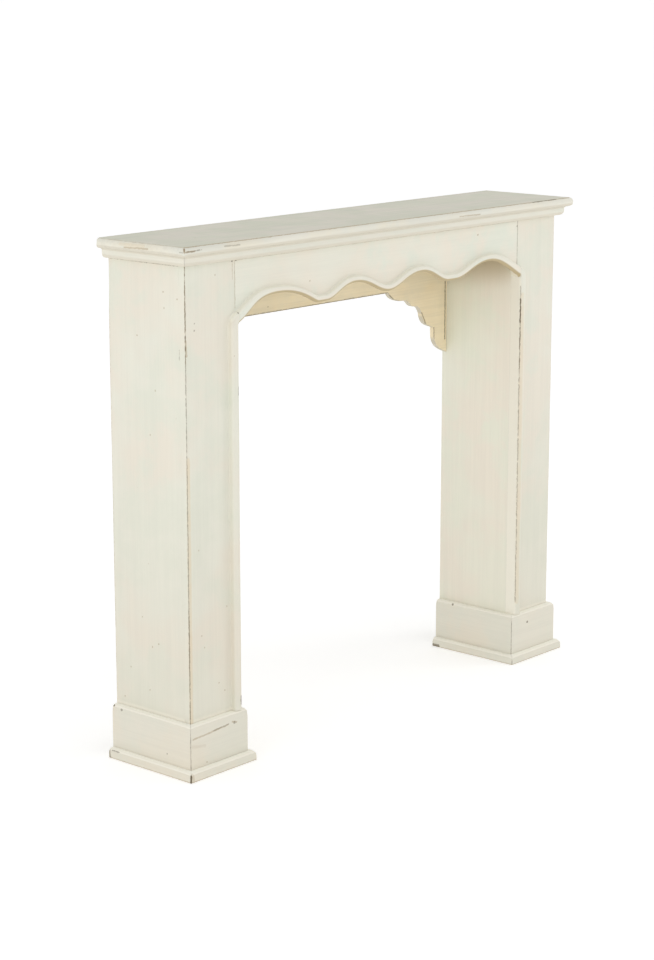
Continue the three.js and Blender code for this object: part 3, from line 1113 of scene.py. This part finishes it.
    def right_marks(self) -> tuple[Mark, ...]:
        """The joint with the frieze, the broken dark line down the inner edge, and painted light on the inner face
        beside the opening and in the crease above the plinth.
        """
        c = self.carcass
        y, f, b, high = c.half_opening, c.front, c.bead_front, c.cornice_low
        edge = y + 1.5
        return (
            Mark((y, f, high), (y, f, 880), 0.6, Tone.GAP, 0.4, 0.3, 1.0),
            Mark((edge, b + 1.5, 812), (edge, b + 1.5, 762), 1.2, Tone.GAP, 0.9, 0.15, 1.0),
            Mark((edge, b + 1.5, 750), (edge, b + 1.5, 660), 1.0, Tone.GAP, 0.75, 0.4, 1.0),
            Mark((edge, b + 1.5, 840), (edge, b + 1.5, 137), 0.9, Tone.GAP, 0.5, 0.35, 1.0),
            Mark((edge + 5, b, 820), (edge + 5, b, 137), 3.0, Tone.STAIN, 0.3, 0.5, 5.0),
            # Painted light on the stile's inner face beside the opening, to match the lighter inner board.
            Mark((y, f + 2, 850), (y, f + 2, 0), 11.0, Tone.PALE, 0.8, 0.0, 4.0),
            Mark((c.half_body, f, high), (c.half_body, f, 107), 0.5, Tone.BARE, 0.4, 0.8, 1.2),
            # Painted light in the crease where the stile meets the plinth.
            Mark((y, f, c.plinth_top), (c.half_body, f, c.plinth_top), 2.5, Tone.PALE, 0.75, 0.0, 7.0),
        )


@dataclass
class Leg(Joinery):
    """The two boards behind a stile, which make the leg a box that is open to the wall."""

    side: Side = Side.LEFT
    spacing: float = 11.0

    def build(self) -> None:
        """Makes the outer and the inner board."""
        c = self.carcass
        sign = self.side.value
        front = c.front + c.board - 0.4
        for word, x0, x1, paint, marks in (
            ("outer", c.half_body - c.board, c.half_body, BOARD_PAINT, self.outer_marks()),
            # The inner board takes the lighter paint: painted light on the faces inside the opening.
            ("inner", c.half_opening, c.half_opening + c.board, INSIDE_LIT_PAINT, self.inner_marks()),
        ):
            low_x, high_x = sorted((sign * x0, sign * x1))
            surface = board_surface(
                np.array([low_x, front, 0.0]), np.array([high_x, c.back, c.body_top - 0.1]), 0.3, self.spacing)
            self.piece(f"{self.side.word}_{word}_board", surface, paint, Grain.UPRIGHT, marks, self.dents(word))

    def outer_marks(self) -> tuple[Mark, ...]:
        """The short open joint, the specks, the line under the cornice, and painted light in the crease above the
        plinth.
        """
        c = self.carcass
        x = self.side.value * c.half_body
        marks = [
            Mark((x, c.front, c.cornice_low), (x, c.back, c.cornice_low), 0.8, Tone.GAP, 0.7, 0.3, 1.0),
            Mark((x, c.back, 107), (x, c.back, c.cornice_low), 0.6, Tone.BARE, 0.4, 0.8, 1.5),
            # Painted light in the crease where the board meets the plinth.
            Mark((x, c.front, c.plinth_top), (x, c.back, c.plinth_top), 2.5, Tone.PALE, 0.75, 0.0, 7.0),
        ]
        if self.side is Side.LEFT:
            specks = ((-30, 929), (-66, 919), (41, 841), (41, 295), (-3, 249), (74, 188), (23, 152), (93, 125))
            marks += [spot(x, y, z, 1.3, Tone.BARE, 0.5) for y, z in specks]
            marks += [
                Mark((x, -70, 825), (x, -70, 806), 0.5, Tone.GAP, 0.6, 0.2, 0.8),
                spot(x, 13, c.cornice_low, 2.0, Tone.GAP, 0.7),
            ]
        return tuple(marks)

    def inner_marks(self) -> tuple[Mark, ...]:
        """Painted shadow that the head of the opening casts on the upper part, towards the wall."""
        c = self.carcass
        x = self.side.value * c.half_opening
        return (
            Mark((x, c.back, 930), (x, -20, 945), 52.0, Tone.SHADE, 0.72, 0.0, 75.0),
        )

    def dents(self, word: str) -> tuple[Dent, ...]:
        """Where the back edge of the left outer board has been planed at the top."""
        c = self.carcass
        if self.side is Side.LEFT and word == "outer":
            return (Dent((-c.half_body, c.back, c.body_top - 25), (0, -2.2, 0), 120),)
        return ()


@dataclass
class Foot(Joinery):
    """The plinth boards and shoe strips round the foot of one leg."""

    side: Side = Side.LEFT
    plinth_round: float = 5.0
    shoe_round: float = 6.0
    spacing: float = 8.0

    def cover(self, back_out: float, out: float, height: float, radius: float) -> np.ndarray:
        """The section of a cover board with its top arris rounded.

        Args:
            back_out: How far out its back is from the leg.
            out: How far out its face is.
            height: Its height.
            radius: Radius of the arris.

        Returns:
            The points (out, height).
        """
        bend = quarter((out - radius, height - radius), (radius, radius), 0, 6)
        base = np.array([(back_out, 0.0), (out - 0.5, 0.0), (out, 0.5)])
        face = np.stack([np.full(5, out), np.linspace(0.1, 0.9, 5) * (height - radius)], axis=1)
        return np.concatenate([base, face, bend, [(back_out, height)]])

    def build(self) -> None:
        """Makes the three plinth boards and the three shoe strips."""
        c = self.carcass
        low, high = sorted((self.side.value * c.half_opening, self.side.value * c.half_body))
        turned = {-1: ("outer", "inner"), 1: ("inner", "outer")}[self.side.value]
        sections = {
            "plinth": self.cover(0.0, c.plinth, c.plinth_top, self.plinth_round),
            "shoe": self.cover(c.plinth, c.plinth + c.shoe, c.shoe_top, self.shoe_round),
        }
        runs = {
            turned[0]: ((low, c.back), (low, c.front), (False, True), Grain.DEEP),
            "front": ((low, c.front), (high, c.front), (True, True), Grain.LEVEL),
            turned[1]: ((high, c.front), (high, c.back), (True, False), Grain.DEEP),
        }
        for kind, section in sections.items():
            for word, (start, end, mitres, grain) in runs.items():
                surface = mitred_run(section, start, end, mitres, 0.05, self.spacing)
                node = f"{self.side.word}_{kind}_{word}"
                self.piece(node, surface, MOULDING_PAINT, grain, self.marks(kind), self.dents(kind))

    def corner(self, kind: str) -> tuple[float, float, float, float]:
        """The near corner of the plinth or the shoe (x, y), the far corner's x, and its top."""
        c = self.carcass
        out = c.plinth + (c.shoe if kind == "shoe" else 0)
        near, far = (-c.half_body, -c.half_opening) if self.side is Side.LEFT else (c.half_opening, c.half_body)
        return near - out, c.front - out, far + out, c.shoe_top if kind == "shoe" else c.plinth_top

    def marks(self, kind: str) -> tuple[Mark, ...]:
        """The worn arrises and joints of the boards or the strips, with painted highlights along their top arrises
        and a darker line along the strips' bottom arrises.
        """
        c = self.carcass
        x0, y0, far_x, top = self.corner(kind)
        marks = [
            Mark((x0, y0, top - 4), (x0, y0, 3), 0.7, Tone.GAP, 0.5, 0.5, 1.0),
            # Painted highlights along the top arrises.
            Mark((x0, y0 + 2, top - 2), (far_x, y0 + 2, top - 2), 2.0, Tone.PALE, 0.7, 0.4, 1.5),
            Mark((x0 + 2, y0, top - 2), (x0 + 2, c.back, top - 2), 2.0, Tone.PALE, 0.7, 0.4, 1.5),
        ]
        if kind == "shoe":
            # A darker line along the bottom arrises, where the strips stand on the floor.
            marks += [
                Mark((x0, y0, 0), (far_x, y0, 0), 1.0, Tone.BARE, 0.45, 0.3, 1.8),
                Mark((x0, y0, 0), (x0, c.back, 0), 1.0, Tone.BARE, 0.45, 0.3, 1.8),
            ]
        if (self.side, kind) == (Side.LEFT, "plinth"):
            marks += [
                Mark((-576, y0, 80), (-480, y0, 86), 0.8, Tone.BARE, 0.5, 0.4, 1.8),
                Mark((-520, y0, 84), (-478, y0, 87), 0.8, Tone.GAP, 0.35, 0.3, 1.5),
                spot(-462, y0, 86, 2.6, Tone.GAP, 0.45),
                Mark((-468, y0, 89), (-456, y0, 86), 0.9, Tone.BARE, 0.5, 0.2, 1.5),
                Mark((-577, y0, 66), (-544, y0, 60), 1.4, Tone.BARE, 0.14, 0.4, 3.0),
                spot(-539, y0, 26, 1.4, Tone.BARE, 0.5),
                spot(x0, 113, 105, 3.2, Tone.GAP, 0.85),
                spot(x0, 90, 100, 2.4, Tone.GAP, 0.55),
                spot(x0, -34, 39, 1.5, Tone.GAP, 0.5),
            ]
        if (self.side, kind) == (Side.LEFT, "shoe"):
            marks += [
                Mark((x0, y0, 20), (x0, y0, 2), 2.2, Tone.GAP, 0.95, 0.0, 1.2),
                Mark((x0 + 4, y0, 19), (x0 + 7, y0, 4), 1.5, Tone.BARE, 0.3, 0.2, 3.0),
                Mark((x0, 115, 18), (x0, 112, 2), 1.2, Tone.GAP, 0.5, 0.3, 2.0),
                Mark((x0, 112, 17), (x0, 87, 17), 0.9, Tone.GAP, 0.6, 0.3, 1.2),
            ]
        if (self.side, kind) == (Side.RIGHT, "plinth"):
            marks += [
                spot(x0, 68, 104, 2.4, Tone.GAP, 0.7),
                spot(483, y0, 82, 2.2, Tone.GAP, 0.7),
            ]
        if (self.side, kind) == (Side.RIGHT, "shoe"):
            marks.append(Mark((x0, 113, 3), (x0, 98, 3), 2.2, Tone.GAP, 0.7, 0.1, 2.0))
        return tuple(marks)

    def dents(self, kind: str) -> tuple[Dent, ...]:
        """The knocked corners of the boards or the strips."""
        x0, y0, far_x, top = self.corner(kind)
        return (
            Dent((x0, y0, top), (1.4, 1.4, -1.2), 12),
            Dent((far_x, y0, top), (-1.2, 1.2, -1.2), 12),
            Dent((x0, self.carcass.back, top), (0.8, -1.2, -1.2), 10),
        )


@dataclass
class BackBoard(Joinery):
    """The board in the back plane: a rail with a shaped drop at each leg."""

    thickness: float = 12.0
    drop_length: float = 200.0
    drop_height: float = 152.0
    rail_height: float = 172.5
    steps: int = 16

    def drop(self) -> np.ndarray:
        """Outline of the right drop, from the rail's lower edge to the leg, (x, z)."""
        c = self.carcass
        leg_x = c.half_opening - 0.1
        rail = c.body_top - self.rail_height

        def at(length: float, height: float) -> tuple[float, float]:
            """A place given as shares of the drop's length and height."""
            return (leg_x - length * self.drop_length, rail - height * self.drop_height)

        curves = (
            ((1, 0), (0.98, 0.08), (0.88, 0.15), (0.75, 0.145)),
            ((0.75, 0.145), (0.65, 0.14), (0.65, 0.26), (0.56, 0.255)),
            ((0.56, 0.255), (0.49, 0.25), (0.44, 0.34), (0.435, 0.4)),
            ((0.435, 0.4), (0.41, 0.55), (0.31, 0.57), (0.225, 0.61)),
            ((0.225, 0.61), (0.223, 0.66), (0.221, 0.70), (0.22, 0.75)),
            ((0.22, 0.75), (0.2, 0.9), (0.1, 0.95), (0, 1)),
        )
        parts = [bezier(*(at(*pair) for pair in curve), self.steps) for curve in curves]
        return np.concatenate([*parts, [at(0, 1)]])

    def build(self) -> None:
        """Makes the board."""
        c = self.carcass
        right = self.drop()
        left = right[::-1] * [-1, 1]
        top = c.body_top - 0.1
        edge = c.half_opening - 0.1
        outline = np.concatenate([[(edge, top), (-edge, top)], left, right])
        surface = plate_surface(outline, c.back - self.thickness, c.back, 0.9)
        self.piece("back_board", surface, BACK_PAINT, Grain.LEVEL, self.marks())

    def marks(self) -> tuple[Mark, ...]:
        """The crack beside the leg, the dark lower arris, and the worn arrises of the drop."""
        c = self.carcass
        y = c.back - self.thickness
        low = c.body_top - self.rail_height
        return (
            Mark((430.5, y, 880), (431.5, y, 705), 0.9, Tone.GAP, 0.8, 0.15, 1.4),
            spot(446, y, 683, 1.5, Tone.GAP, 0.4),
            Mark((-c.half_opening, y, low), (232, y, low), 1.6, Tone.GAP, 0.65, 0.15, 1.4),
            Mark((234, y, 827), (255, y, 810), 0.9, Tone.GAP, 0.6, 0.2, 1.4),
            Mark((255, y, 810), (280, y, 804), 0.9, Tone.GAP, 0.6, 0.2, 1.4),
            Mark((280, y, 804), (306, y, 794), 0.8, Tone.GAP, 0.45, 0.3, 1.4),
            Mark((350, y, 772), (364, y, 746), 0.9, Tone.GAP, 0.6, 0.2, 1.4),
            Mark((393, y, 734), (394, y, 700), 0.9, Tone.GAP, 0.55, 0.2, 1.4),
        )


@dataclass(frozen=True)
class Studio:
    """The floor, the light and the camera."""

    eye: Point = (-3560.3, -3069.1, 1534.5)
    azimuth: float = 48.59
    dip: float = 12.72
    lens: float = 87.37
    floor_half: float = 120.0
    floor_glow: float = 0.25
    sky: float = 0.82

    def build(self) -> None:
        """Sets up the studio."""
        self.lay_floor()
        self.light()
        self.place_camera()
        bpy.context.scene.view_settings.view_transform = "Standard"

    def lay_floor(self) -> None:
        """A wide plain floor just under the feet."""
        half = self.floor_half
        mesh = bpy.data.meshes.new("floor")
        mesh.from_pydata([(-half, -half, 0), (half, -half, 0), (half, half, 0), (-half, half, 0)], [], [[0, 1, 2, 3]])
        floor = bpy.data.objects.new("floor", mesh)
        bpy.context.scene.collection.objects.link(floor)
        pot = PaintPot("floor_white")
        pot.shader.inputs["Base Color"].default_value = (0.93, 0.93, 0.93, 1)
        pot.shader.inputs["Roughness"].default_value = 0.9
        pot.shader.inputs["Emission Color"].default_value = (1, 1, 1, 1)
        pot.shader.inputs["Emission Strength"].default_value = self.floor_glow
        mesh.materials.append(pot.material)

    def light(self) -> None:
        """An even white sky with two broad soft lamps, from the left and from the front right."""
        world = bpy.data.worlds.new("studio")
        world.use_nodes = True
        background = world.node_tree.nodes["Background"]
        background.inputs[0].default_value = (1, 1, 1, 1)
        background.inputs[1].default_value = self.sky
        bpy.context.scene.world = world
        self.lamp("left_lamp", (-3.3, -0.65, 1.5), 1.4, 9.0)
        self.lamp("front_lamp", (2.9, -1.8, 1.8), 1.3, 11.0)

    def lamp(self, name: str, place: Point, size: float, power: float) -> None:
        """Hangs one square lamp that faces the mantelpiece."""
        data = bpy.data.lights.new(name, "AREA")
        data.size = size
        data.energy = power
        lamp = bpy.data.objects.new(name, data)
        lamp.location = place
        aim = Vector((0, 0, 0.5)) - Vector(place)
        lamp.rotation_euler = aim.to_track_quat("-Z", "Y").to_euler()
        bpy.context.scene.collection.objects.link(lamp)

    def place_camera(self) -> None:
        """The camera at the picture's place and angle."""
        data = bpy.data.cameras.new("camera")
        data.lens = self.lens
        data.sensor_width = 36.0
        data.clip_end = 300.0
        camera = bpy.data.objects.new("camera", data)
        turn, dip = math.radians(self.azimuth), math.radians(self.dip)
        ahead = Vector((math.sin(turn) * math.cos(dip), math.cos(turn) * math.cos(dip), -math.sin(dip)))
        camera.matrix_world = Matrix.Translation(Vector(self.eye) * MM) @ ahead.to_track_quat("-Z", "Y").to_matrix().to_4x4()
        bpy.context.scene.collection.objects.link(camera)
        bpy.context.scene.camera = camera


def main() -> None:
    """Builds the mantelpiece piece by piece, then the studio."""
    logging.basicConfig(level=logging.INFO, format="%(name)s: %(message)s")
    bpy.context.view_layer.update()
    carcass = Carcass.from_frame()
    assemblies = [Shelf(carcass), Cornice(carcass), Front(carcass)]
    for side in Side:
        assemblies += [Leg(carcass, side=side), Foot(carcass, side=side)]
    assemblies.append(BackBoard(carcass))
    for assembly in assemblies:
        assembly.build()
    Studio().build()


if __name__ == "__main__":
    main()
